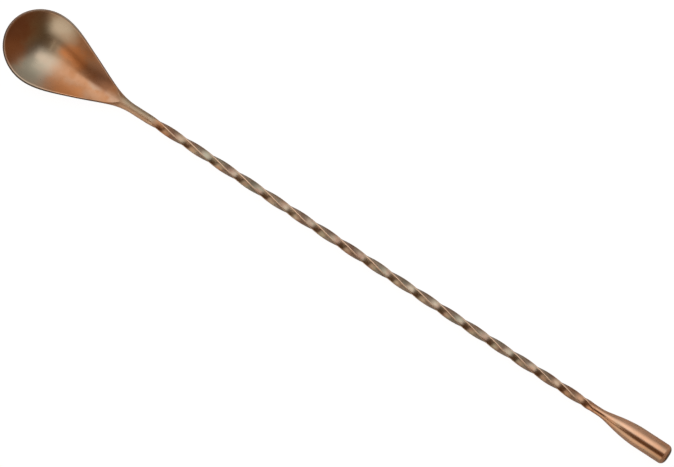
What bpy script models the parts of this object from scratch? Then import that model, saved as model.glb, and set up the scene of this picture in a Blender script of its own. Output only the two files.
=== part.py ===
"""Bar spoon: a forged bowl with its neck, a twisted square shaft and a turned drop weight.

The shaft ends in a round tenon at each side. One tenon sits in a bore in the bowl's neck, the other
in a bore in the weight, and a ring of brazing filler closes each seam. The spoon lies on its bowl
and its weight, with the shaft along X, the bowl towards -X and its hollow facing up.
"""

import math

import bmesh
import bpy

MM = 0.001

# The whole spoon. Every x below is a distance along the spoon from the tip of the bowl, and every
# height is from the shaft's centre line.
LENGTH = 300.0 * MM
AXIS_HEIGHT = 4.0 * MM  # the centre line above the surface that the spoon lies on

# Bowl and neck, one forging. A curve's station is (x, value, slope).
WIDEST_AT = 16.0 * MM
BOWL_HALF_WIDTH = 14.7 * MM
RIM_WIDTH = 1.1 * MM
NECK_HALF_WIDTH = 1.85 * MM
FORGING_END = 63.3 * MM
OUTLINE = [
    (WIDEST_AT, BOWL_HALF_WIDTH, 0.0),
    (34.2 * MM, 9.3 * MM, -0.405),
    (47.9 * MM, 3.6 * MM, -0.38),
    (57.0 * MM, NECK_HALF_WIDTH, 0.0),
]
RIM_INSET = [(36.0 * MM, RIM_WIDTH, 0.0), (55.0 * MM, 0.0, 0.0)]
INSIDE_SPINE = [
    (WIDEST_AT, -3.0 * MM, 0.0),
    (30.0 * MM, -2.1 * MM, 0.13),
    (55.5 * MM, 1.7 * MM, 0.0),
]
OUTSIDE_SPINE = [
    (WIDEST_AT, -AXIS_HEIGHT, 0.0),
    (30.0 * MM, -3.4 * MM, 0.08),
    (54.0 * MM, -1.7 * MM, 0.0),
]
INSIDE_EDGE = [
    (0.0 * MM, 3.5 * MM, -0.01),
    (30.0 * MM, 2.5 * MM, -0.05),
    (56.0 * MM, 0.8 * MM, 0.0),
]
OUTSIDE_EDGE = [
    (0.0 * MM, 3.2 * MM, -0.01),
    (30.0 * MM, 2.1 * MM, -0.07),
    (56.0 * MM, -0.8 * MM, 0.0),
]
SECTION_POWER = 2.3  # 2 is a parabola across the bowl, and more gives a flatter floor
TIP_ROWS = 8
BODY_ROWS = 24
COLUMNS = 14

# Shaft, a square bar twisted along its whole length and a little tighter towards the weight
SHAFT_START = 64.0 * MM
SHAFT_END = 265.8 * MM
BAR_SIDE = 3.05 * MM
BAR_CORNER = 0.35 * MM
SQUARE_ON_AT = 67.6 * MM  # where the bar's flats face up and sideways
QUARTER_TURNS_PER_M = 82.4
TIGHTENING = 28.6  # quarter-turns per square metre from SQUARE_ON_AT
RINGS_PER_QUARTER_TURN = 5
CORNER_POINTS = 3
BLEND_LENGTH = 3.5 * MM  # each end of the bar is dressed round over this length

# Drop weight. Its outline's stations are from its mouth.
WEIGHT_START = 266.5 * MM
WEIGHT_MOUTH_RADIUS = 1.62 * MM
WEIGHT_OUTLINE = [
    (2.2 * MM, WEIGHT_MOUTH_RADIUS, 0.0),
    (5.6 * MM, 1.98 * MM, 0.20),
    (13.4 * MM, 3.45 * MM, 0.135),
    (20.0 * MM, AXIS_HEIGHT, 0.0),
]
OUTLINE_STEPS = 14
END_ROUNDING = 2.2 * MM
END_FLAT_RADIUS = 1.6 * MM
END_STEPS = 5
WEIGHT_FACES = 32

# Brazed joints
TENON_RADIUS = 0.85 * MM
TENON_LENGTH = 7.0 * MM
BORE_RADIUS = 1.15 * MM
BORE_LENGTH = 7.9 * MM
FILLER_RADIUS = 1.6 * MM
FILLER_WIDTH = 0.3 * MM
SEAM_GAP = 0.2 * MM  # between the filler and the faces on each side of it
ROUND_FACES = 16

COPPER = (0.52, 0.27, 0.16, 1.0)
FILLER_COLOR = (0.60, 0.42, 0.28, 1.0)


def along(stations, x):
    """Value at x on the smooth curve through the stations, level beyond both ends."""
    if x <= stations[0][0]:
        return stations[0][1]
    for (x0, v0, m0), (x1, v1, m1) in zip(stations, stations[1:]):
        if x <= x1:
            t = (x - x0) / (x1 - x0)
            rise = t * t * (3 - 2 * t)
            bend = (x1 - x0) * t * (1 - t) * (m0 * (1 - t) - m1 * t)
            return v0 + (v1 - v0) * rise + bend
    return stations[-1][1]


def metal(name, color, roughness):
    """A plated metal finish."""
    material = bpy.data.materials.new(name)
    material.use_nodes = True
    shader = material.node_tree.nodes["Principled BSDF"]
    shader.inputs["Base Color"].default_value = color
    shader.inputs["Roughness"].default_value = roughness
    shader.inputs["Metallic"].default_value = 1.0
    return material


def mesh_from(name, bm):
    bmesh.ops.recalc_face_normals(bm, faces=bm.faces)
    mesh = bpy.data.meshes.new(name)
    bm.to_mesh(mesh)
    bm.free()
    mesh.shade_smooth()
    mesh.set_sharp_from_angle(angle=math.radians(35))
    return mesh


def add_piece(name, mesh, spoon, material, collection):
    """A named piece, placed by the spoon's empty."""
    piece = bpy.data.objects.new(name, mesh)
    collection.objects.link(piece)
    piece.parent = spoon
    mesh.materials.append(material)
    return piece


def bowl_point(row, column, inside):
    """A point of the bowl's inside or outside sheet.

    row runs from -1 at the tip to 0 at the widest place and on to 1 at the neck's end, and column
    from -1 to 1 across. The tip half maps a square onto half an ellipse, so no row shrinks to a point.
    """
    spine, edge = (INSIDE_SPINE, INSIDE_EDGE) if inside else (OUTSIDE_SPINE, OUTSIDE_EDGE)
    if row < 0:
        inset = RIM_WIDTH if inside else 0.0
        forward = row * math.sqrt(1 - column * column / 2)
        across = column * math.sqrt(1 - row * row / 2)
        x = WIDEST_AT + forward * (WIDEST_AT - inset)
        y = across * (BOWL_HALF_WIDTH - inset)
        out = math.hypot(forward, across)
    else:
        x = WIDEST_AT + row * (FORGING_END - WIDEST_AT)
        inset = along(RIM_INSET, x) if inside else 0.0
        y = column * (along(OUTLINE, x) - inset)
        out = abs(column)
    floor = along(spine, x)
    return x, y, floor + (along(edge, x) - floor) * out**SECTION_POWER


def add_sheet(bm, inside):
    """One sheet of the bowl, and the edges of its outline."""
    rows = [i / TIP_ROWS - 1 for i in range(TIP_ROWS)]
    rows += [i / BODY_ROWS for i in range(BODY_ROWS + 1)]
    columns = [2 * i / COLUMNS - 1 for i in range(COLUMNS + 1)]
    grid = [[bm.verts.new(bowl_point(row, column, inside)) for column in columns] for row in rows]
    for near, far in zip(grid, grid[1:]):
        for i in range(COLUMNS):
            bm.faces.new((near[i], near[i + 1], far[i + 1], far[i]))
    sheet = {edge for line in grid for vertex in line for edge in vertex.link_edges}
    return [edge for edge in sheet if edge.is_boundary]


def bowl_mesh():
    """The bowl and neck: an inside and an outside sheet, joined all along their outline."""
    bm = bmesh.new()
    outline = add_sheet(bm, True) + add_sheet(bm, False)
    bmesh.ops.bridge_loops(bm, edges=outline)
    return mesh_from("bowl", bm)


def bar_section(turn, roundness, radius):
    """Points around the bar: a square with round corners, or a circle where roundness is 1."""
    points = []
    flat = BAR_SIDE / 2 - BAR_CORNER
    for corner in range(4):
        y0 = flat if corner in (0, 3) else -flat
        z0 = flat if corner in (0, 1) else -flat
        for step in range(CORNER_POINTS):
            tight = math.pi / 2 * (corner + step / (CORNER_POINTS - 1))
            even = math.pi / 2 * (corner + (step + 0.5) / CORNER_POINTS)
            y = y0 + BAR_CORNER * math.cos(tight)
            z = z0 + BAR_CORNER * math.sin(tight)
            y += roundness * (radius * math.cos(even) - y)
            z += roundness * (radius * math.sin(even) - z)
            points.append(
                (y * math.cos(turn) - z * math.sin(turn), y * math.sin(turn) + z * math.cos(turn))
            )
    return points


def quarter_turns(x):
    """How far the bar is twisted at x, counted from where its flats face up."""
    run = x - SQUARE_ON_AT
    return QUARTER_TURNS_PER_M * run + TIGHTENING * run * run


def shaft_mesh():
    """The twisted bar and its tenons, lofted from section to section."""
    length = SHAFT_END - SHAFT_START
    count = round((quarter_turns(SHAFT_END) - quarter_turns(SHAFT_START)) * RINGS_PER_QUARTER_TURN)
    rings = []
    for i in range(count + 1):
        x = SHAFT_START + length * i / count
        at_start = max(0.0, 1 - (x - SHAFT_START) / BLEND_LENGTH)
        at_end = max(0.0, 1 - (SHAFT_END - x) / BLEND_LENGTH)
        radius = NECK_HALF_WIDTH if at_start else WEIGHT_MOUTH_RADIUS
        turn = quarter_turns(x) * math.pi / 2
        rings.append((x, bar_section(turn, at_start + at_end, radius)))
    for x, outwards in ((SHAFT_START, -1), (SHAFT_END, 1)):
        tenon = bar_section(quarter_turns(x) * math.pi / 2, 1.0, TENON_RADIUS)
        ends = [(x, tenon), (x + outwards * TENON_LENGTH, tenon)]
        rings = ends[::-1] + rings if outwards < 0 else rings + ends
    bm = bmesh.new()
    loops = [[bm.verts.new((x, y, z)) for y, z in points] for x, points in rings]
    bm.faces.new(loops[0])
    bm.faces.new(loops[-1])
    for near, far in zip(loops, loops[1:]):
        for i in range(len(near)):
            bm.faces.new((near[i - 1], near[i], far[i], far[i - 1]))
    return mesh_from("shaft", bm)


def turned_piece(name, profile, closed, faces, spoon, material, collection):
    """A piece of revolution about the spoon's centre line, from (x, radius) points.

    The profile runs from the weight's end of the spoon back along the outside, which is the way
    that turns its faces outwards. A closed profile gives a ring.
    """
    bm = bmesh.new()
    points = [bm.verts.new((radius, 0.0, x)) for x, radius in profile]
    for first, second in zip(points, points[1:]):
        bm.edges.new((first, second))
    if closed:
        bm.edges.new((points[-1], points[0]))
    mesh = bpy.data.meshes.new(name)
    bm.to_mesh(mesh)
    bm.free()
    piece = add_piece(name, mesh, spoon, material, collection)
    piece.rotation_euler.y = math.pi / 2
    turning = piece.modifiers.new("Turning", "SCREW")
    turning.axis = "Z"
    turning.steps = faces
    turning.render_steps = faces
    turning.use_merge_vertices = True
    turning.merge_threshold = 0.00001
    return piece


def weight_profile():
    """The weight's outside from the middle of its flat end to its mouth, then its blind bore."""
    shoulder = LENGTH - END_ROUNDING
    profile = [(LENGTH, 0.0)]
    for i in range(END_STEPS + 1):
        angle = math.pi / 2 * i / END_STEPS
        radius = END_FLAT_RADIUS + (AXIS_HEIGHT - END_FLAT_RADIUS) * math.sin(angle)
        profile.append((shoulder + END_ROUNDING * math.cos(angle), radius))
    cylinder_start = WEIGHT_OUTLINE[-1][0]
    for i in range(OUTLINE_STEPS + 1):
        x = cylinder_start * (1 - i / OUTLINE_STEPS)
        profile.append((WEIGHT_START + x, along(WEIGHT_OUTLINE, x)))
    profile.append((WEIGHT_START, BORE_RADIUS))
    profile.append((WEIGHT_START + BORE_LENGTH, BORE_RADIUS))
    profile.append((WEIGHT_START + BORE_LENGTH, 0.0))
    return profile


def filler_profile(start):
    end = start + FILLER_WIDTH
    return [
        (end, FILLER_RADIUS),
        (start, FILLER_RADIUS),
        (start, BORE_RADIUS),
        (end, BORE_RADIUS),
    ]


def bore_neck(bowl, spoon, collection):
    """Cuts the neck's blind bore for the shaft's tenon."""
    bm = bmesh.new()
    bmesh.ops.create_cone(
        bm,
        cap_ends=True,
        segments=ROUND_FACES,
        radius1=BORE_RADIUS,
        radius2=BORE_RADIUS,
        depth=2 * BORE_LENGTH,
    )
    cutter = bpy.data.objects.new("neck_bore_cutter", mesh_from("neck_bore_cutter", bm))
    collection.objects.link(cutter)
    cutter.parent = spoon
    cutter.location.x = FORGING_END
    cutter.rotation_euler.y = math.pi / 2
    cutter.hide_render = True
    cutter.display_type = "WIRE"
    bore = bowl.modifiers.new("Bore", "BOOLEAN")
    bore.operation = "DIFFERENCE"
    bore.solver = "EXACT"
    bore.object = cutter


def new_collection(name):
    collection = bpy.data.collections.new(name)
    bpy.context.scene.collection.children.link(collection)
    return collection


def main():
    for obj in list(bpy.data.objects):
        bpy.data.objects.remove(obj)
    pieces = new_collection("bar_spoon")
    cutters = new_collection("cutters")
    spoon = bpy.data.objects.new("spoon", None)
    spoon.location = (-LENGTH / 2, 0.0, AXIS_HEIGHT)
    pieces.objects.link(spoon)

    bowl = add_piece("spoon_bowl", bowl_mesh(), spoon, metal("bowl_copper", COPPER, 0.32), pieces)
    bore_neck(bowl, spoon, cutters)
    add_piece("twisted_shaft", shaft_mesh(), spoon, metal("shaft_copper", COPPER, 0.30), pieces)
    weight_metal = metal("weight_copper", COPPER, 0.28)
    turned_piece(
        "drop_weight", weight_profile(), False, WEIGHT_FACES, spoon, weight_metal, pieces
    )
    seams = [("neck_braze", FORGING_END), ("weight_braze", SHAFT_END)]
    for name, seam in seams:
        filler = metal(name + "_filler", FILLER_COLOR, 0.35)
        profile = filler_profile(seam + SEAM_GAP)
        turned_piece(name, profile, True, ROUND_FACES, spoon, filler, pieces)


main()
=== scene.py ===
"""The looks of a copper-plated bar spoon, built around its packed CAD frame.

The bowl, the twisted shaft, the drop weight and the two brazed seams each replace their plain CAD
node. Lengths along the spoon are measured from the bowl's tip, and heights from the shaft's centre.
"""

import math

import bmesh
import bpy
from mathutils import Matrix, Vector


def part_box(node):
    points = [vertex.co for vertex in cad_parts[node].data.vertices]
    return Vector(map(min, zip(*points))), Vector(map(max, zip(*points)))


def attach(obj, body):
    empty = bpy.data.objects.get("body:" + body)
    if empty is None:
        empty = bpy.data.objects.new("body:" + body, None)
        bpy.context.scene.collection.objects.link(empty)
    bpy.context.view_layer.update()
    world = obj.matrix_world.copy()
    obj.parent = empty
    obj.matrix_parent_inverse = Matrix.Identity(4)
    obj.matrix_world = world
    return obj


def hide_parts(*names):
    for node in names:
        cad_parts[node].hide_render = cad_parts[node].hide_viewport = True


bl_info = {
    "name": "Twisted Bar Spoon",
    "version": (1, 0, 0),
    "blender": (4, 5, 0),
    "location": "View3D > Sidebar > Bar Spoon",
    "description": "Builds a copper-plated bar spoon and a small studio to show it in",
    "category": "Object",
}

MM = 0.001
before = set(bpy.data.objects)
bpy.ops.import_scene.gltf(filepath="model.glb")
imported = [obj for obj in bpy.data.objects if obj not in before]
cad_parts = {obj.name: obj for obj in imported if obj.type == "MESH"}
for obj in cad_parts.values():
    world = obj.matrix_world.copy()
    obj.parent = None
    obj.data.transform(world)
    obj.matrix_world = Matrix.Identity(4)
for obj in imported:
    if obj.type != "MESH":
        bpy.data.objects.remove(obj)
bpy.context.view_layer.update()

# Where the packed CAD nodes begin and end, first in the frame and then measured from the tip.
BOWL_LOW, BOWL_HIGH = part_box("spoon_bowl")
SHAFT_LOW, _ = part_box("twisted_shaft")
WEIGHT_LOW, WEIGHT_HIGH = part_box("drop_weight")
TIP_X = BOWL_LOW.x
AXIS_Z = (WEIGHT_LOW.z + WEIGHT_HIGH.z) / 2
NECK_END = BOWL_HIGH.x - TIP_X
WEIGHT_START = WEIGHT_LOW.x - TIP_X
LENGTH = WEIGHT_HIGH.x - TIP_X
SEAM_WIDTH = 0.7 * MM  # from one piece's shoulder to the other's
SHAFT_START = NECK_END + SEAM_WIDTH
SHAFT_END = WEIGHT_START - SEAM_WIDTH
TENON_LENGTH = SHAFT_START - (SHAFT_LOW.x - TIP_X)

WELD_DISTANCE = 0.002 * MM  # points nearer than this become one
FINE_BUMPS = 0.01 * MM

# Edges that turn by more than this stay sharp, in radians.
FORGED_EDGES = 0.9
TURNED_EDGES = 0.7
FILLER_EDGES = 0.5


def length(name, description, default):
    """A length that a user can change, in metres."""
    return bpy.props.FloatProperty(
        name=name, description=description, default=default, min=0.0, precision=5, unit="LENGTH"
    )


def color(name, description, default):
    """A colour that a user can change."""
    return bpy.props.FloatVectorProperty(
        name=name,
        description=description,
        default=default,
        size=3,
        min=0.0,
        max=1.0,
        subtype="COLOR",
    )


class BowlSettings(bpy.types.PropertyGroup):
    """Sizes of the bowl and its neck."""

    half_width: length("Half width", "Half of the bowl's greatest width", BOWL_HIGH.y)
    widest_at: length("Widest at", "From the tip to the widest place", 16.0 * MM)
    deepest_at: length("Deepest at", "From the tip to the deepest place", 18.0 * MM)
    rim_height: length("Rim height", "From the shaft's centre up to the rim at the tip", 3.5 * MM)
    depth: length("Depth", "Depth of the hollow below the rim", 5.85 * MM)
    underside: length("Underside", "From the shaft's centre down to the underside", AXIS_Z)
    rim_width: length("Rim width", "Width of the rim, seen from above", 1.0 * MM)
    hollow_end: length("Hollow end", "From the tip to where the hollow closes", 51.2 * MM)
    neck_radius: length("Neck radius", "Radius of the round neck", 1.85 * MM)


class ShaftSettings(bpy.types.PropertyGroup):
    """Sizes of the twisted shaft."""

    side: length("Side", "Width of the square bar over its flats", 3.055 * MM)
    corner: length("Corner", "Radius of the bar's four corners", 0.38 * MM)
    bulge: length("Bulge", "How far the middle of each flat stands out", 0.02 * MM)
    square_on_at: length("Square on at", "Where the flats first face up", 67.9 * MM)
    dressed: length("Dressed length", "How much of each end is dressed round", 3.6 * MM)
    turns: bpy.props.FloatProperty(
        name="Turns", description="Quarter-turns of twist per metre at the bowl's end", default=82.4
    )
    tightening: bpy.props.FloatProperty(
        name="Tightening", description="Quarter-turns gained per square metre", default=28.6
    )


class WeightSettings(bpy.types.PropertyGroup):
    """Sizes of the turned weight."""

    radius: length("Radius", "Radius of the cylinder", (WEIGHT_HIGH.z - WEIGHT_LOW.z) / 2)
    mouth_radius: length("Mouth radius", "Radius at the seam with the shaft", 1.62 * MM)
    end_rounding: length("End rounding", "How much of the length the rounded end takes", 2.2 * MM)
    end_flat: length("End flat", "Radius of the small flat end", 1.6 * MM)
    bore_radius: length("Bore radius", "Radius of the bore for the tenon", 1.15 * MM)
    tenon_radius: length("Tenon radius", "Radius of the shaft's tenons", 0.85 * MM)
    bore_length: length("Bore length", "Depth of the bore for the tenon", 7.9 * MM)


class FinishSettings(bpy.types.PropertyGroup):
    """Colours of the antique copper plate."""

    copper: color("Copper", "Orange copper of the bowl's tail", (0.57, 0.265, 0.12))
    weight: color("Weight copper", "Copper of the weight", (0.92, 0.55, 0.36))
    # Also used as a painted highlight on the rim's inner edge and on the shaft's far-side ridges.
    bright: color("Bright copper", "Copper worn bright on edges", (0.90, 0.64, 0.46))
    brown: color("Brown", "Copper darkened to brown", (0.40, 0.22, 0.155))
    grey: color("Grey", "Rubbed grey-beige patina", (0.64, 0.54, 0.41))
    blush: color("Blush", "Pinkish copper in patches", (0.65, 0.355, 0.20))
    # Also used as painted shade in the middle of the bowl's hollow and on the weight's flat end.
    green: color("Green", "Grey-green in patches", (0.44, 0.44, 0.33))
    orange: color("Orange", "Strongest orange, inside the bowl", (0.92, 0.37, 0.13))
    # Used only as a painted highlight high on the bowl's far side.
    pale_highlight: color("Pale", "Palest rubbed patina", (0.80, 0.71, 0.58))
    # The neck's near and far colours are lit and shaded copies of one plate: painted shade on the
    # far side.
    neck: color("Neck", "Dull tan on the neck's near side", (0.98, 0.72, 0.52))
    neck_shaded_side: color("Neck's far side", "Dull grey-tan on the neck's far side", (0.56, 0.48, 0.34))
    # Used only as painted shade: over the rim's outer edge, on each flat of the shaft, in a patch
    # in the bowl and on the weight's flat end.
    shade_black: color("Black", "Darkest patina, in hollows and on edges", (0.10, 0.075, 0.055))


class StageSettings(bpy.types.PropertyGroup):
    """Camera, floor and lights."""

    camera_height: length("Camera height", "Height of the camera above the floor", 2.0)
    camera_turn: bpy.props.FloatProperty(
        name="Camera turn",
        description="How far the camera is turned from the spoon's length",
        default=math.radians(33.115),
        subtype="ANGLE",
    )
    lens: bpy.props.FloatProperty(
        name="Lens", description="Focal length on a 36 mm sensor, in millimetres", default=279.8
    )
    floor_color: color("Floor", "Colour of the floor", (0.76, 0.76, 0.76))
    floor_glow: bpy.props.FloatProperty(
        name="Floor glow",
        description="How white the floor looks from the camera",
        default=1.2,
        min=0.0,
    )


SETTINGS = {
    "bar_spoon_bowl": BowlSettings,
    "bar_spoon_shaft": ShaftSettings,
    "bar_spoon_weight": WeightSettings,
    "bar_spoon_finish": FinishSettings,
    "bar_spoon_stage": StageSettings,
}


# Shapes


def ease(t):
    """0 to 1 with level ends, held at them outside."""
    t = min(max(t, 0.0), 1.0)
    return t * t * (3 - 2 * t)


def along(stations, at):
    """Value on the smooth curve through (place, value, slope) stations, level beyond both ends."""
    if at <= stations[0][0]:
        return stations[0][1]
    for (x0, v0, m0), (x1, v1, m1) in zip(stations, stations[1:]):
        if at <= x1:
            t = (at - x0) / (x1 - x0)
            bend = (x1 - x0) * t * (1 - t) * (m0 * (1 - t) - m1 * t)
            return v0 + (v1 - v0) * ease(t) + bend
    return stations[-1][1]


def deselect_all():
    if bpy.context.object and bpy.context.object.mode != "OBJECT":
        bpy.ops.object.mode_set(mode="OBJECT")
    bpy.ops.object.select_all(action="DESELECT")


def select(piece, mode, picked):
    """Selects the vertices, edges or faces that picked() says, and leaves edit mode on."""
    bpy.ops.object.mode_set(mode="EDIT")
    bpy.ops.mesh.select_mode(type=mode)
    bpy.ops.mesh.select_all(action="DESELECT")
    bm = bmesh.from_edit_mesh(piece.data)
    parts = {"VERT": bm.verts, "EDGE": bm.edges, "FACE": bm.faces}[mode]
    for part in parts:
        if picked(part):
            part.select_set(True)
    bmesh.update_edit_mesh(piece.data)


def add_grid(name, rows, columns, place):
    """A primitive grid whose point in each row and column is moved to place(row, column)."""
    deselect_all()
    bpy.ops.mesh.primitive_grid_add(x_subdivisions=columns - 1, y_subdivisions=rows - 1, size=1.0)
    piece = bpy.context.object
    piece.name = name
    piece.data.name = name
    for index, vertex in enumerate(piece.data.vertices):
        vertex.co = place(index // columns, index % columns)
    return piece


# The centre line of the hand-bent spoon: place along, offset across and slope. The bowl is
# set a little askew, and the neck leads back to the shaft's line.
CENTRE_LINE = [
    (0.0, 0.24 * MM, -0.012),
    (20.0 * MM, 0.03 * MM, -0.018),
    (36.0 * MM, -0.38 * MM, -0.020),
    (47.0 * MM, -0.50 * MM, 0.0),
    (60.0 * MM, -0.41 * MM, 0.010),
    (76.0 * MM, -0.21 * MM, 0.008),
    (104.0 * MM, -0.08 * MM, 0.0),
    (213.0 * MM, -0.08 * MM, 0.0),
    (250.0 * MM, 0.0, 0.0),
]


def set_askew(piece):
    """Stores each point's place on the straight spoon for the finishes, then bends the piece."""
    straight = piece.data.attributes.new("straight", "FLOAT_VECTOR", "POINT")
    for place, vertex in zip(straight.data, piece.data.vertices):
        place.vector = vertex.co
        vertex.co.y += along(CENTRE_LINE, vertex.co.x - TIP_X)


def finish_piece(piece, node, material, smooth_angle):
    """Closes the piece's mesh, gives it its material and puts it on the frame."""
    set_askew(piece)
    bpy.ops.object.mode_set(mode="EDIT")
    bpy.ops.mesh.select_all(action="SELECT")
    bpy.ops.mesh.remove_doubles(threshold=WELD_DISTANCE)
    bpy.ops.mesh.normals_make_consistent(inside=False)
    bpy.ops.object.mode_set(mode="OBJECT")
    bpy.ops.object.shade_smooth_by_angle(angle=smooth_angle)
    piece.data.materials.clear()
    piece.data.materials.append(material)
    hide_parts(node)
    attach(piece, "root")


def in_frame(s, y, z):
    """The place in the frame of a point s along the spoon, y across and z above its centre line."""
    return Vector((TIP_X + s, y, AXIS_Z + z))


# Bowl and neck


def bowl_stations(bowl):
    """The bowl's curves along the spoon, from its settings."""
    widest, deepest, neck = bowl.widest_at, bowl.deepest_at, bowl.neck_radius
    return {
        "outline": [
            (widest, bowl.half_width, 0.0),
            (34.2 * MM, 9.3 * MM, -0.405),
            (47.9 * MM, 3.6 * MM, -0.38),
            (57.0 * MM, neck, 0.0),
        ],
        "neckness": [(38.0 * MM, 0.0, 0.0), (55.0 * MM, 1.0, 0.0)],
        # A section's power is 2 where it is a parabola, and less towards a V.
        "power": [(22.0 * MM, 2.0, 0.0), (40.0 * MM, 1.7, 0.0)],
        "rim_width": [(20.0 * MM, bowl.rim_width, 0.0), (38.0 * MM, 0.6 * bowl.rim_width, 0.0)],
        "rim_left": [(40.0 * MM, 1.0, 0.0), (50.0 * MM, 0.0, 0.0)],
        "hollow_share": [
            (46.5 * MM, 1.0, 0.0),
            (bowl.hollow_end, 0.0, -0.5 / MM),
        ],
        "depth": [
            (deepest, bowl.depth, 0.0),
            (30.0 * MM, 0.76 * bowl.depth, -0.20),
            (43.0 * MM, 0.20 * bowl.depth, -0.19),
            (48.0 * MM, 0.055 * bowl.depth, -0.11),
            (bowl.hollow_end, 0.0, -0.05),
        ],
        "underside": [
            (deepest, -bowl.underside, 0.0),
            (30.0 * MM, -3.4 * MM, 0.08),
            (55.0 * MM, -neck, 0.0),
        ],
        "inner_rim": [
            (0.0, bowl.rim_height - 0.25 * MM, -0.01),
            (30.0 * MM, 2.3 * MM, -0.04),
            (bowl.hollow_end, 1.75 * MM, 0.0),
            (57.0 * MM, neck, 0.0),
        ],
        "outer_rim": [
            (0.0, bowl.rim_height - 0.45 * MM, -0.01),
            (30.0 * MM, 1.95 * MM, -0.07),
            (55.0 * MM, 0.0, 0.0),
        ],
    }


SHEET_STEPS = 18
RIM_STEPS = 10
RIM_HANDLE = 0.42 * MM
CIRCLE_HANDLE = 0.5523  # the Bezier handle of a quarter circle, as a share of its radius
BODY_STEPS = 80
SHOULDER_STEPS = 5
TIP_STEPS = 64


def bezier(points, t):
    """Point at t on the curve with these four handles."""
    a, b, c, d = points
    u = 1 - t
    return a * u**3 + b * (3 * u * u * t) + c * (3 * u * t * t) + d * t**3


def bowl_section(curves, rim_at, floor_at, reach):
    """Half a section of the bowl as (out, up) points: hollow, rim and underside.

    rim_at is where the rim is along the spoon, floor_at where the section meets the spine, and
    reach how far the rim is from the spine. Towards the neck the hollow closes and the rim and
    underside turn into half a circle.
    """
    neckness, power = along(curves["neckness"], rim_at), along(curves["power"], rim_at)
    hollow = (reach - along(curves["rim_width"], rim_at)) * along(curves["hollow_share"], rim_at)
    inner = along(curves["inner_rim"], rim_at)
    floor = along(curves["inner_rim"], floor_at) - along(curves["depth"], floor_at)
    under, outer = along(curves["underside"], floor_at), along(curves["outer_rim"], rim_at)
    spread = [math.sin(math.pi / 2 * i / SHEET_STEPS) for i in range(SHEET_STEPS + 1)]
    inside = [Vector((t * hollow, floor + (inner - floor) * t**power)) for t in spread]

    def underneath(t):
        dish = Vector((t * reach, under + (outer - under) * t**power))
        turn = t * math.pi / 2
        return dish.lerp(Vector((reach * math.sin(turn), under * math.cos(turn))), neckness)

    outside = [underneath(t) for t in spread]
    steep = power * (inner - floor)
    leave = Vector((hollow, steep)).normalized().lerp(Vector((1.0, 0.0)), neckness)
    leave *= CIRCLE_HANDLE * (reach - hollow)
    enter = (outside[-1] - outside[-2]).normalized() * RIM_HANDLE
    enter = enter.lerp(Vector((0.0, CIRCLE_HANDLE * inner)), neckness)
    handles = (inside[-1], inside[-1] + leave, outside[-1] + enter, outside[-1])
    rim = [bezier(handles, i / RIM_STEPS) for i in range(1, RIM_STEPS)]
    return inside + rim + outside[::-1]


def bowl_points(bowl):
    """Rows of points round the bowl, from the neck down one side, round the tip and back.

    With them comes how much of a rim each row has, from 0 on the neck to 1 on the bowl.
    """
    curves = bowl_stations(bowl)
    widest, deepest = bowl.widest_at, bowl.deepest_at
    side_rows = []
    for i in range(BODY_STEPS):
        s = NECK_END + (deepest - NECK_END) * i / BODY_STEPS
        section = bowl_section(curves, s, s, along(curves["outline"], s))
        side_rows.append((s, section))
    rows = [[in_frame(s, out, up) for out, up in section] for s, section in side_rows]
    rims = [along(curves["rim_left"], s) for s, _ in side_rows]
    outline = []
    for i in range(SHOULDER_STEPS):
        s = deepest + (widest - deepest) * i / SHOULDER_STEPS
        outline.append(Vector((s, along(curves["outline"], s))))
    mirrored = [Vector((x, -y)) for x, y in outline[::-1]]
    for i in range(TIP_STEPS + 1):
        angle = math.pi / 2 - math.pi * i / TIP_STEPS
        x, y = widest * (1 - math.cos(angle)), bowl.half_width * math.sin(angle)
        outline.append(Vector((x, y)))
    middle = Vector((deepest, 0.0))
    for edge in outline + mirrored:
        reach = edge - middle
        section = bowl_section(curves, edge.x, deepest, reach.length)
        way = reach.normalized()
        rows.append([in_frame(deepest + way.x * out, way.y * out, up) for out, up in section])
    rows += [[in_frame(s, -out, up) for out, up in section] for s, section in side_rows[::-1]]
    rims = rims + [1.0] * len(outline + mirrored) + rims[::-1]
    return rows, rims


# The painted highlight and painted shade along the rim, as shares of the way over it from its inner
# edge to its outer one.
HIGHLIGHT_MIDDLE, HIGHLIGHT_HALF = 0.1, 0.3
SHADE_START, SHADE_RISE = 0.1, 0.4
SHADE_END, SHADE_FADE = 1.2, 0.5


def mark_rim(piece, rims, columns):
    """Stores where the rim gets a painted highlight and where it gets painted shade, for the finish
    to read.

    The painted highlight runs along its inner edge and the painted shade over its outer edge.
    """
    bright = piece.data.attributes.new("rim_highlight", "FLOAT", "POINT")
    rim_shade = piece.data.attributes.new("rim_painted_shade", "FLOAT", "POINT")
    for index in range(len(piece.data.vertices)):
        over = (index % columns - SHEET_STEPS) / RIM_STEPS
        rim = rims[index // columns]
        bright.data[index].value = rim * (1 - ease(abs(over - HIGHLIGHT_MIDDLE) / HIGHLIGHT_HALF))
        shade_rising = rim * ease((over - SHADE_START) / SHADE_RISE)
        rim_shade.data[index].value = shade_rising * (1 - ease((over - SHADE_END) / SHADE_FADE))


def selected_radius(piece):
    """How far the selected vertices are from the spoon's centre line."""
    bm = bmesh.from_edit_mesh(piece.data)
    return max(abs(vertex.co.y) for vertex in bm.verts if vertex.select)


def bore_neck(piece, radius, depth):
    """Closes the neck's open end with a blind bore: the end's edge is drawn in, then pushed in."""
    select(piece, "EDGE", lambda edge: edge.is_boundary)
    shrink = radius / selected_radius(piece)
    bpy.ops.mesh.extrude_edges_move()
    centre = in_frame(NECK_END, 0.0, 0.0)
    bpy.ops.transform.resize(value=(1.0, shrink, shrink), center_override=centre)
    bpy.ops.mesh.extrude_edges_move(TRANSFORM_OT_translate={"value": (-depth, 0.0, 0.0)})
    bpy.ops.mesh.edge_face_add()
    bpy.ops.object.mode_set(mode="OBJECT")


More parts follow.
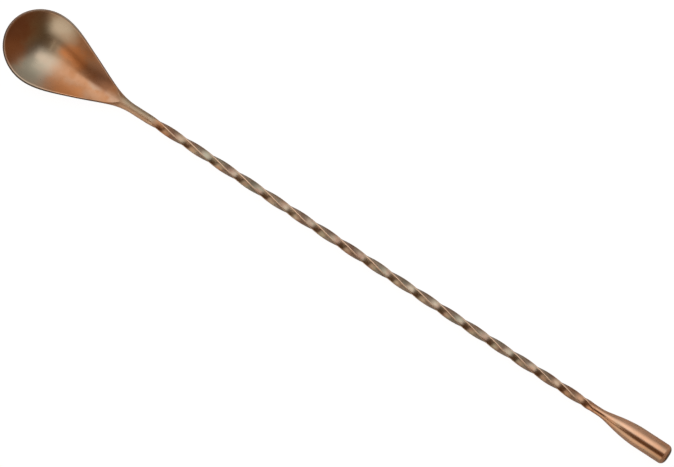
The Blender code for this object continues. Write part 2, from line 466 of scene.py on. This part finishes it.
class BARSPOON_OT_bowl(bpy.types.Operator):
    """Adds the bowl and its neck, bored for the shaft's tenon"""

    bl_idname = "bar_spoon.bowl"
    bl_label = "Bowl and Neck"

    def execute(self, context):
        scene = context.scene
        bowl, weight = scene.bar_spoon_bowl, scene.bar_spoon_weight
        points, rims = bowl_points(bowl)
        piece = add_grid("bowl", len(points), len(points[0]), lambda r, c: points[r][c])
        mark_rim(piece, rims, len(points[0]))
        select(piece, "VERT", lambda vertex: True)
        bpy.ops.mesh.remove_doubles(threshold=WELD_DISTANCE)
        bpy.ops.object.mode_set(mode="OBJECT")
        bore_neck(piece, weight.bore_radius, weight.bore_length)
        material = bowl_finish(scene.bar_spoon_finish)
        finish_piece(piece, "spoon_bowl", material, FORGED_EDGES)
        return {"FINISHED"}


# Shaft

CORNER_STEPS = 5
FACE_STEPS = 8
SHAFT_STEPS_PER_TURN = 14


def bar_outline(shaft, roundness, radius):
    """Points round the bar: a square with round corners, or a circle where roundness is 1."""
    flat = shaft.side / 2 - shaft.corner
    outline = []
    for quarter in range(4):
        corner = []
        for step in range(CORNER_STEPS + 1):
            turn = math.pi / 2 * step / CORNER_STEPS
            y, z = shaft.corner * math.cos(turn), shaft.corner * math.sin(turn)
            corner.append(Vector((flat + y, flat + z)))
        for step in range(1, FACE_STEPS):
            across = 1 - 2 * step / FACE_STEPS
            out = shaft.side / 2 + shaft.bulge * (1 - across * across)
            corner.append(Vector((across * flat, out)))
        for point in corner:
            turned = Vector((point.x, point.y))
            for _ in range(quarter):
                turned = Vector((-turned.y, turned.x))
            outline.append(turned)
    count = len(outline)
    first = math.atan2(flat, shaft.side / 2)
    for i, point in enumerate(outline):
        even = first + 2 * math.pi * i / count
        circle = Vector((radius * math.cos(even), radius * math.sin(even)))
        outline[i] = point.lerp(circle, roundness)
    return outline


def shaft_points(shaft, neck_radius, weight):
    """Rows of points along the shaft, from one tenon's end to the other's."""

    def turns_at(s):
        run = s - shaft.square_on_at
        return shaft.turns * run + shaft.tightening * run * run

    def row(s, roundness, radius):
        angle = turns_at(min(max(s, SHAFT_START), SHAFT_END)) * math.pi / 2
        cos, sin = math.cos(angle), math.sin(angle)
        outline = bar_outline(shaft, roundness, radius)
        outline.append(outline[0])
        return [in_frame(s, y * cos - z * sin, y * sin + z * cos) for y, z in outline]

    tenon = weight.tenon_radius
    count = round((turns_at(SHAFT_END) - turns_at(SHAFT_START)) * SHAFT_STEPS_PER_TURN)
    body = []
    for i in range(count + 1):
        s = SHAFT_START + (SHAFT_END - SHAFT_START) * i / count
        at_start = ease(1 - (s - SHAFT_START) / shaft.dressed)
        at_end = ease(1 - (SHAFT_END - s) / shaft.dressed)
        radius = neck_radius if at_start else weight.mouth_radius
        body.append(row(s, at_start + at_end, radius))
    first, last = SHAFT_START - TENON_LENGTH, SHAFT_END + TENON_LENGTH
    start = [row(first, 1.0, 0.0), row(first, 1.0, tenon), row(SHAFT_START, 1.0, tenon)]
    end = [row(SHAFT_END, 1.0, tenon), row(last, 1.0, tenon), row(last, 1.0, 0.0)]
    return start + body + end


class BARSPOON_OT_shaft(bpy.types.Operator):
    """Adds the twisted shaft with its tenons"""

    bl_idname = "bar_spoon.shaft"
    bl_label = "Twisted Shaft"

    def execute(self, context):
        scene = context.scene
        bowl, shaft = scene.bar_spoon_bowl, scene.bar_spoon_shaft
        points = shaft_points(shaft, bowl.neck_radius, scene.bar_spoon_weight)
        piece = add_grid("shaft", len(points), len(points[0]), lambda r, c: points[r][c])
        material = shaft_finish(scene.bar_spoon_finish, shaft)
        finish_piece(piece, "twisted_shaft", material, FORGED_EDGES)
        return {"FINISHED"}


# Weight and seams

SPIN_STEPS = 96
END_STEPS = 10
TAPER_STEPS = 40


def spin_outline(name, outline):
    """A solid of revolution: one point is extruded along the outline, which is then spun."""
    deselect_all()
    bpy.ops.mesh.primitive_plane_add(size=MM, location=outline[0])
    piece = bpy.context.object
    piece.name = name
    piece.data.name = name
    bpy.ops.object.transform_apply(location=True, rotation=False, scale=False)
    bpy.ops.object.mode_set(mode="EDIT")
    bpy.ops.mesh.select_mode(type="VERT")
    bpy.ops.mesh.select_all(action="SELECT")
    bpy.ops.mesh.merge(type="CENTER")
    for near, far in zip(outline, outline[1:]):
        bpy.ops.mesh.extrude_vertices_move(TRANSFORM_OT_translate={"value": far - near})
    bpy.ops.mesh.select_all(action="SELECT")
    bpy.ops.mesh.spin(
        steps=SPIN_STEPS, angle=2 * math.pi, center=in_frame(0.0, 0.0, 0.0), axis=(1.0, 0.0, 0.0)
    )
    bpy.ops.object.mode_set(mode="OBJECT")
    return piece


def weight_outline(weight):
    """The weight's outline from the middle of its flat end to the bottom of its bore."""
    shoulder = LENGTH - weight.end_rounding
    outline = [(LENGTH, 0.0), (LENGTH, weight.end_flat * 0.5)]
    for i in range(END_STEPS + 1):
        turn = math.pi / 2 * i / END_STEPS
        radius = weight.end_flat + (weight.radius - weight.end_flat) * math.sin(turn)
        outline.append((shoulder + weight.end_rounding * math.cos(turn), radius))
    stations = [
        (2.2 * MM, weight.mouth_radius, 0.0),
        (5.6 * MM, 1.98 * MM, 0.20),
        (13.4 * MM, 3.45 * MM, 0.135),
        (20.0 * MM, weight.radius, 0.0),
    ]
    for i in range(TAPER_STEPS + 1):
        s = stations[-1][0] * (1 - i / TAPER_STEPS)
        outline.append((WEIGHT_START + s, along(stations, s)))
    bottom = WEIGHT_START + weight.bore_length
    outline += [(WEIGHT_START, weight.bore_radius), (bottom, weight.bore_radius), (bottom, 0.0)]
    return [in_frame(s, radius, 0.0) for s, radius in outline]


class BARSPOON_OT_weight(bpy.types.Operator):
    """Adds the turned weight, bored for the shaft's tenon"""

    bl_idname = "bar_spoon.weight"
    bl_label = "Drop Weight"

    def execute(self, context):
        scene = context.scene
        piece = spin_outline("weight", weight_outline(scene.bar_spoon_weight))
        material = weight_finish(scene.bar_spoon_finish)
        finish_piece(piece, "drop_weight", material, TURNED_EDGES)
        return {"FINISHED"}


class BARSPOON_OT_seams(bpy.types.Operator):
    """Adds the ring of brazing filler in each seam, dressed flush"""

    bl_idname = "bar_spoon.seams"
    bl_label = "Brazed Seams"

    def execute(self, context):
        scene = context.scene
        bore = scene.bar_spoon_weight.bore_radius
        seams = [
            ("neck_seam", "neck_braze", NECK_END, scene.bar_spoon_bowl.neck_radius),
            ("weight_seam", "weight_braze", SHAFT_END, scene.bar_spoon_weight.mouth_radius),
        ]
        gap, edge = 0.02 * MM, 0.03 * MM
        for name, node, start, radius in seams:
            near, far = start + gap, start + SEAM_WIDTH - gap
            outline = [
                (far, bore),
                (far, radius - edge),
                (far - edge, radius),
                (near + edge, radius),
                (near, radius - edge),
                (near, bore),
                (far, bore),
            ]
            piece = spin_outline(name, [in_frame(s, r, 0.0) for s, r in outline])
            material = filler_finish(scene.bar_spoon_finish, name)
            finish_piece(piece, node, material, FILLER_EDGES)
        return {"FINISHED"}


# Finishes


class Value:
    """A node's output in Python sums: each operator adds the Math node that works it out."""

    def __init__(self, nodes, socket):
        self.nodes = nodes
        self.socket = socket

    def math(self, operation, *others):
        inputs = dict(enumerate((self, *others)))
        return self.nodes.add("ShaderNodeMath", {"operation": operation}, inputs)

    def __add__(self, other):
        return self.math("ADD", other)

    def __sub__(self, other):
        return self.math("SUBTRACT", other)

    def __mul__(self, other):
        return self.math("MULTIPLY", other)

    def __rsub__(self, other):
        return self.nodes.add("ShaderNodeMath", {"operation": "SUBTRACT"}, {0: other, 1: self})

    __radd__ = __add__
    __rmul__ = __mul__

    def between(self, low, high):
        """0 where this is low, 1 where it is high, and smooth between."""
        settings = {"interpolation_type": "SMOOTHSTEP"}
        limits = {"Value": self, "From Min": low, "From Max": high}
        return self.nodes.add("ShaderNodeMapRange", settings, limits)


class Nodes:
    """A node tree, and the methods that add to it."""

    def __init__(self, tree):
        self.tree = tree

    def feed(self, socket, value):
        if isinstance(value, Value):
            self.tree.links.new(value.socket, socket)
        elif socket.type == "RGBA" and len(value) == 3:
            socket.default_value = (*value, 1.0)
        else:
            socket.default_value = value

    def add(self, kind, settings=None, inputs=None, output=0):
        node = self.tree.nodes.new(kind)
        for name, value in (settings or {}).items():
            setattr(node, name, value)
        for name, value in (inputs or {}).items():
            self.feed(node.inputs[name], value)
        return Value(self, node.outputs[output])

    def mix(self, factor, first, second):
        """The first colour where factor is 0 and the second where it is 1."""
        settings = {"data_type": "RGBA"}
        return self.add("ShaderNodeMix", settings, {0: factor, 6: first, 7: second}, 2)


class Finish(Nodes):
    """A new Principled material and the nodes that feed it."""

    def __init__(self, name):
        self.material = bpy.data.materials.new(name)
        self.material.use_nodes = True
        super().__init__(self.material.node_tree)
        self.shader = self.tree.nodes["Principled BSDF"]
        straight = {"attribute_name": "straight"}
        self.place = self.add("ShaderNodeAttribute", straight, output="Vector")

    def set(self, **values):
        for name, value in values.items():
            self.feed(self.shader.inputs[name.replace("_", " ")], value)

    def noise(self, scale, detail, offset=(0.0, 0.0, 0.0)):
        """Noise between 0 and 1 with so many waves per metre, one number or one for each axis."""
        scale = (scale,) * 3 if isinstance(scale, float) else scale
        stretched = {"Vector": self.place, "Scale": scale, "Location": offset}
        vector = self.add("ShaderNodeMapping", None, stretched)
        inputs = {"Vector": vector, "Scale": 1.0, "Detail": detail}
        return self.add("ShaderNodeTexNoise", None, inputs)

    def axis(self, name):
        """The place along one axis, in metres."""
        return self.add("ShaderNodeSeparateXYZ", None, {"Vector": self.place}, name)

    def distance_along(self):
        return self.axis("X") - TIP_X

    def radius_from_line(self):
        """Distance from the shaft's centre line."""
        across, up = self.axis("Y"), self.axis("Z") - AXIS_Z
        return (across * across + up * up).math("SQRT")

    def across_flat(self, shaft):
        """Place across the twisted bar's flat, from 0 at one ridge to 1 at the next."""
        turn = (self.axis("Z") - AXIS_Z).math("ARCTAN2", self.axis("Y")) * (2 / math.pi)
        run = self.distance_along() - shaft.square_on_at
        return (turn + 0.5 - run * shaft.turns - run * run * shaft.tightening).math("FRACT")

    def marked(self, name):
        """A number that the mesh stores at each of its points."""
        return self.add("ShaderNodeAttribute", {"attribute_name": name}, output="Fac")

    def bump(self, height, distance):
        """Normals of a surface whose bumps are this far from bottom to top, in metres."""
        return self.add("ShaderNodeBump", None, {"Height": height, "Distance": distance})


def metal(name, coat=0.25):
    """A plated metal under a thin clear lacquer."""
    finish = Finish(name)
    finish.set(Metallic=1.0, Coat_Weight=coat, Coat_Roughness=0.25, Coat_IOR=1.5)
    return finish


# Patches on the bowl, some patina and some painted light as marked: middle along and across, half
# size along and across, all in mm, then strength and colour.
PATINA_AND_PAINTED_LIGHT_PATCHES = [
    # Painted shade in the middle of the hollow.
    (13.5, 3.0, 9.0, 9.0, 0.5, "green"),
    (15.5, -9.5, 8.0, 8.0, 0.6, "green"),
    (9.0, 9.0, 7.0, 7.0, 0.5, "green"),
    # Painted highlight high on the bowl's far side.
    (16.5, 10.5, 7.0, 6.0, 0.7, "pale_highlight"),
    (6.5, -7.0, 7.0, 7.0, 0.9, "blush"),
    (27.8, 4.5, 7.5, 5.0, 0.8, "orange"),
    (32.0, -8.7, 10.0, 5.5, 0.85, "orange"),
    # Painted shade, darkening the grey band on the near side.
    (14.0, -4.0, 5.0, 8.0, 0.3, "shade_black"),
    # Painted highlight: a thin grey streak beside the dark wedge.
    (39.5, -0.7, 6.0, 1.5, 0.35, "grey"),
    (49.5, -0.8, 4.5, 3.0, 0.55, "bright"),
]


def neck_color_with_shade(finish, colors, patches):
    """Dull tan with painted shade, greyer on the far side, on the neck and on what is dressed flush
    with it.
    """
    shaded_side = finish.axis("Y").between(-1.2 * MM, 0.8 * MM)
    sides = finish.mix(shaded_side, colors.neck, colors.neck_shaded_side)
    return finish.mix(patches * 0.4, sides, colors.blush)


def mouth_color(finish, colors):
    """Copper of the weight's mouth and of what is dressed flush with it."""
    return finish.mix(0.45, colors.weight, colors.copper)


def bowl_finish(colors):
    """Copper, browned at the tip, rubbed grey-beige across the bowl and orange at its tail, with
    painted shade and painted highlights in some patches, in a wedge on the tail and on the rim.
    """
    finish = metal("bowl_copper")
    along_spoon, across = finish.distance_along(), finish.axis("Y")
    cloud = finish.noise(70.0, 2.0)
    patches = finish.noise(240.0, 3.0)
    speckle = finish.noise(1100.0, 3.0)
    brushed = finish.noise((150.0, 4000.0, 4000.0), 2.0)
    warped = along_spoon + (cloud - 0.5) * 12 * MM + (patches - 0.5) * 5 * MM
    greyed = warped.between(7 * MM, 14 * MM) * (1 - warped.between(19 * MM, 28 * MM))
    browned = 1 - warped.between(3 * MM, 13 * MM)
    base = finish.mix(patches.between(0.3, 0.7), colors.copper, colors.blush)
    base = finish.mix(greyed * (0.8 + 0.2 * speckle), base, colors.grey)
    base = finish.mix(browned * 0.8, base, colors.brown)
    strayed = across + (patches - 0.5) * 3 * MM
    for s, y, size_s, size_y, strength, tint in PATINA_AND_PAINTED_LIGHT_PATCHES:
        far_s = (warped - s * MM) * (1 / MM / size_s)
        far_y = (strayed - y * MM) * (1 / MM / size_y)
        away = (far_s * far_s + far_y * far_y).math("SQRT")
        base = finish.mix((1 - away.between(0.2, 1.0)) * strength, base, getattr(colors, tint))
    # Painted shade in a wedge along the far side of the tail, and the neck's own tan with its
    # painted shade.
    shade_wedge = warped.between(33 * MM, 41 * MM) * (1 - warped.between(45.5 * MM, 49.5 * MM))
    shade_wedge = shade_wedge * strayed.between(-2.3 * MM, 0.6 * MM)
    base = finish.mix(shade_wedge * 0.52, base, colors.brown)
    neck = warped.between(48.5 * MM, 53 * MM)
    base = finish.mix(neck, base, neck_color_with_shade(finish, colors, patches))
    # The rim: a painted highlight inside, and painted shade, dull and dark, outside, most of all on
    # the near side.
    base = finish.mix(finish.marked("rim_highlight") * (0.25 + 0.4 * patches), base, colors.bright)
    painted_shade = 0.62 + 0.33 * across.between(8 * MM, -8 * MM)
    painted_rim_shade = finish.marked("rim_painted_shade") * painted_shade
    base = finish.mix(painted_rim_shade, base, colors.shade_black)
    finish.set(Metallic=1 - painted_rim_shade * 0.9, Coat_Weight=0.25 - painted_rim_shade * 0.25)
    duller = along_spoon.between(45 * MM, 50 * MM)
    finish.set(Base_Color=base, Roughness=0.25 + brushed * 0.08 + duller * 0.22)
    finish.set(Normal=finish.bump(brushed + patches * 0.5, FINE_BUMPS))
    return finish.material


def shaft_finish(colors, shaft):
    """Uneven patina on the flats with painted shade towards one ridge of each, rubbed through to
    bright copper along the ridges, with a painted highlight on the far side.
    """
    finish = metal("shaft_copper")
    along_spoon = finish.distance_along()
    radius = finish.radius_from_line()
    patches = finish.noise(260.0, 3.0)
    hue = finish.noise((150.0, 210.0, 210.0), 2.0, (0.3, 0.1, 0.7))
    grain = finish.noise(1500.0, 3.0)
    base = finish.mix(patches.between(0.2, 0.7), colors.brown, colors.grey)
    base = finish.mix(hue.between(0.5, 0.65) * 0.6, base, colors.green)
    base = finish.mix(hue.between(0.42, 0.3) * 0.4, base, colors.blush)
    reddened = 1 - along_spoon.between(66 * MM, 90 * MM) + along_spoon.between(235 * MM, 262 * MM)
    base = finish.mix(reddened * 0.6, base, colors.copper)
    # Painted shade darkens each flat towards one ridge, and the ridges are rubbed bright, more on
    # the far side as a painted highlight.
    painted_shade = 1 - finish.across_flat(shaft).between(0.0, 0.6)
    base = finish.mix(painted_shade * 0.42, base, colors.shade_black)
    ridge = (radius + (grain - 0.5) * 0.12 * MM).between(1.87 * MM, 1.98 * MM)
    rubbed_and_lit_side = 0.45 + 0.55 * finish.axis("Y").between(-1.3 * MM, 0.4 * MM)
    base = finish.mix(ridge * rubbed_and_lit_side, base, colors.bright)
    # At both ends the shaft takes on the look of its neighbour.
    warped = along_spoon + (patches - 0.5) * 3 * MM
    by_neck = warped.between(69.5 * MM, 65 * MM)
    base = finish.mix(by_neck, base, neck_color_with_shade(finish, colors, patches))
    flushed = warped.between(64.5 * MM, 67 * MM) * warped.between(72 * MM, 69 * MM)
    base = finish.mix(flushed * 0.6, base, colors.copper)
    by_weight = warped.between(SHAFT_END - 4 * MM, SHAFT_END - 1 * MM)
    base = finish.mix(by_weight, base, mouth_color(finish, colors))
    finish.set(Base_Color=base, Roughness=0.18 + patches * 0.12 + by_neck * 0.2)
    finish.set(Normal=finish.bump(grain, 2 * FINE_BUMPS))
    return finish.material


def weight_finish(colors):
    """Satin copper with lathe marks, more orange at its end, with painted shade on its end's flat
    and a painted highlight round the end's edge.
    """
    finish = metal("weight_copper", 0.08)
    along_spoon = finish.distance_along()
    turned = finish.noise((3500.0, 60.0, 60.0), 2.0)
    patches = finish.noise(220.0, 3.0)
    warped = along_spoon + (patches - 0.5) * 8 * MM
    base = finish.mix(patches.between(0.35, 0.7) * 0.35, colors.weight, colors.grey)
    base = finish.mix(warped.between(286 * MM, 297 * MM) * 0.45, base, colors.copper)
    hue = finish.noise((110.0, 260.0, 260.0), 2.0, (0.6, 0.2, 0.1))
    base = finish.mix(hue.between(0.52, 0.68) * 0.30, base, colors.green)
    base = finish.mix(hue.between(0.45, 0.32) * 0.35, base, colors.blush)
    # Painted shade on the flat end, orange towards the shaft, and a duller and paler ring round the
    # end's edge, less metallic, as a painted highlight.
    end = along_spoon.between(298.8 * MM, 299.5 * MM)
    base = finish.mix(end * 0.92, base, finish.mix(0.8, colors.green, colors.shade_black))
    base = finish.mix((1 - warped.between(268 * MM, 278 * MM)) * 0.4, base, colors.copper)
    satin = along_spoon.between(297.4 * MM, 298.4 * MM) * 0.2
    painted_highlight_ring = along_spoon.between(297.7 * MM, 298.4 * MM)
    painted_highlight_ring = painted_highlight_ring * along_spoon.between(299.3 * MM, 298.8 * MM)
    finish.set(Metallic=1 - painted_highlight_ring * 0.7)
    finish.set(Base_Color=base, Roughness=0.17 + turned * 0.05 + patches * 0.04 + satin)
    finish.set(Normal=finish.bump(turned, FINE_BUMPS))
    return finish.material


def filler_finish(colors, name):
    """Filler that is plated over, and so looks like the neck or the weight beside it."""
    finish = metal(name + "_filler")
    patches = finish.noise(260.0, 3.0)
    grain = finish.noise(2000.0, 2.0)
    if name == "neck_seam":
        base = neck_color_with_shade(finish, colors, patches)
    else:
        base = mouth_color(finish, colors)
    base = finish.mix(grain * 0.25, base, colors.brown)
    finish.set(Base_Color=base, Roughness=0.3 + patches * 0.15)
    finish.set(Normal=finish.bump(grain, FINE_BUMPS))
    return finish.material


# Stage

KEY_LIGHT = 1.0
FILL_LIGHT = 0.70
ROOM_LIGHT = 0.055
LIGHTS_END = (0.17, 0.38)  # how far towards the weight the lights start to fade and end
KEY_SLANT = 0.13  # how much farther the key light reaches at its outer side
WARM_WHITE = (1.0, 0.88, 0.74)
ROOM_BROWN = (1.0, 0.54, 0.26)
FLOOR_SIZE = 6.0
CAMERA_OVER = (-2.2 * MM, 2.3 * MM)  # the place on the floor that the camera looks down on


def stage_floor(stage):
    """A pale floor that is lit like its surroundings, and looks evenly white from the camera."""
    bpy.ops.mesh.primitive_plane_add(size=FLOOR_SIZE, location=(0.0, 0.0, 0.0))
    floor = bpy.context.object
    floor.name = "floor"
    finish = Finish("floor")
    finish.set(Base_Color=tuple(stage.floor_color), Roughness=0.9)
    white = {"Color": (1.0, 1.0, 1.0), "Strength": stage.floor_glow}
    glow = finish.add("ShaderNodeEmission", None, white)
    seen = finish.add("ShaderNodeLightPath", output="Is Camera Ray")
    shaders = {0: seen * 0.8, 1: Value(finish, finish.shader.outputs[0]), 2: glow}
    mixed = finish.add("ShaderNodeMixShader", None, shaders)
    finish.feed(finish.tree.nodes["Material Output"].inputs["Surface"], mixed)
    floor.data.materials.append(finish.material)


def add_softbox(name, low, high, height, radiance, tint):
    """A flat soft light that faces down, from one corner to the other at this height.

    The radiance is what a perfect mirror would show of it, where 1 is white.
    """
    data = bpy.data.lights.new(name, "AREA")
    data.shape = "RECTANGLE"
    data.size, data.size_y = high[0] - low[0], high[1] - low[1]
    data.energy = math.pi * data.size * data.size_y * radiance
    data.color = tint
    light = bpy.data.objects.new(name, data)
    bpy.context.scene.collection.objects.link(light)
    light.location = ((low[0] + high[0]) / 2, (low[1] + high[1]) / 2, height)
    light.visible_camera = False


def stage_camera(stage):
    data = bpy.data.cameras.new("camera")
    data.lens = stage.lens
    data.clip_start = 0.01
    camera = bpy.data.objects.new("camera", data)
    camera.location = (*CAMERA_OVER, stage.camera_height)
    camera.rotation_euler = (0.0, 0.0, stage.camera_turn)
    bpy.context.scene.collection.objects.link(camera)
    bpy.context.scene.camera = camera


def stage_world():
    """A studio without end: soft lights on both sides and a dark gap between them.

    turn is the angle round the spoon's length in degrees, 0 straight above and positive on the
    +Y side, and x how far a direction points along the spoon, to the bowl where it is negative.
    """
    world = bpy.data.worlds.new("studio")
    world.use_nodes = True
    nodes = Nodes(world.node_tree)
    way = nodes.add("ShaderNodeTexCoord", output="Generated")
    x, y, z = (nodes.add("ShaderNodeSeparateXYZ", None, {"Vector": way}, axis) for axis in "XYZ")
    turn = y.math("ARCTAN2", z) * (180 / math.pi)
    lit = 1 - x.between(*LIGHTS_END)
    key_lit = 1 - (x - turn.between(15, 60) * KEY_SLANT).between(*LIGHTS_END)
    key = turn.between(-8, 15) * (1 - turn.between(24, 78) * 0.70) * key_lit * KEY_LIGHT
    fill_lit = lit * (1 - x.between(-0.25, -0.48) * 0.85)
    fill = turn.between(-36, -55) * (1 - turn.between(-64, -95) * 0.30) * fill_lit * FILL_LIGHT
    gap = turn.between(0, -12) * turn.between(-46, -30) * lit * ROOM_LIGHT
    room = x.between(0.2, 0.65) * 0.14 + x.between(-0.3, -0.9) * 0.12 + ROOM_LIGHT + gap
    white = nodes.add("ShaderNodeBackground", None, {"Color": (1, 1, 1), "Strength": key})
    warm = nodes.add("ShaderNodeBackground", None, {"Color": WARM_WHITE, "Strength": fill})
    brown = nodes.add("ShaderNodeBackground", None, {"Color": ROOM_BROWN, "Strength": room})
    lights = nodes.add("ShaderNodeAddShader", None, {0: white, 1: warm})
    lights = nodes.add("ShaderNodeAddShader", None, {0: lights, 1: brown})
    nodes.feed(world.node_tree.nodes["World Output"].inputs["Surface"], lights)
    bpy.context.scene.world = world


class BARSPOON_OT_stage(bpy.types.Operator):
    """Adds the floor, the lights and the camera"""

    bl_idname = "bar_spoon.stage"
    bl_label = "Studio"

    def execute(self, context):
        stage = context.scene.bar_spoon_stage
        deselect_all()
        stage_floor(stage)
        stage_world()
        low, high = (-0.62, -0.72), (-0.20, 0.12)
        add_softbox("overhead", low, high, height=1.05, radiance=0.66, tint=WARM_WHITE)
        stage_camera(stage)
        context.scene.view_settings.view_transform = "Standard"
        return {"FINISHED"}


class BARSPOON_PT_sidebar(bpy.types.Panel):
    """Buttons and settings of the bar spoon"""

    bl_label = "Bar Spoon"
    bl_idname = "BARSPOON_PT_sidebar"
    bl_space_type = "VIEW_3D"
    bl_region_type = "UI"
    bl_category = "Bar Spoon"

    def draw(self, context):
        for operator in OPERATORS:
            self.layout.operator(operator.bl_idname)
        for name, group in SETTINGS.items():
            box = self.layout.box()
            box.label(text=group.__doc__)
            for prop in group.__annotations__:
                box.prop(getattr(context.scene, name), prop)


OPERATORS = (
    BARSPOON_OT_bowl,
    BARSPOON_OT_shaft,
    BARSPOON_OT_weight,
    BARSPOON_OT_seams,
    BARSPOON_OT_stage,
)


def register():
    for name, group in SETTINGS.items():
        bpy.utils.register_class(group)
        setattr(bpy.types.Scene, name, bpy.props.PointerProperty(type=group))
    for cls in (*OPERATORS, BARSPOON_PT_sidebar):
        bpy.utils.register_class(cls)


def unregister():
    for cls in (BARSPOON_PT_sidebar, *reversed(OPERATORS)):
        bpy.utils.unregister_class(cls)
    for name, group in reversed(SETTINGS.items()):
        delattr(bpy.types.Scene, name)
        bpy.utils.unregister_class(group)


def main():
    register()
    bpy.ops.bar_spoon.bowl()
    bpy.ops.bar_spoon.shaft()
    bpy.ops.bar_spoon.weight()
    bpy.ops.bar_spoon.seams()
    bpy.ops.bar_spoon.stage()


if __name__ == "__main__":
    main()
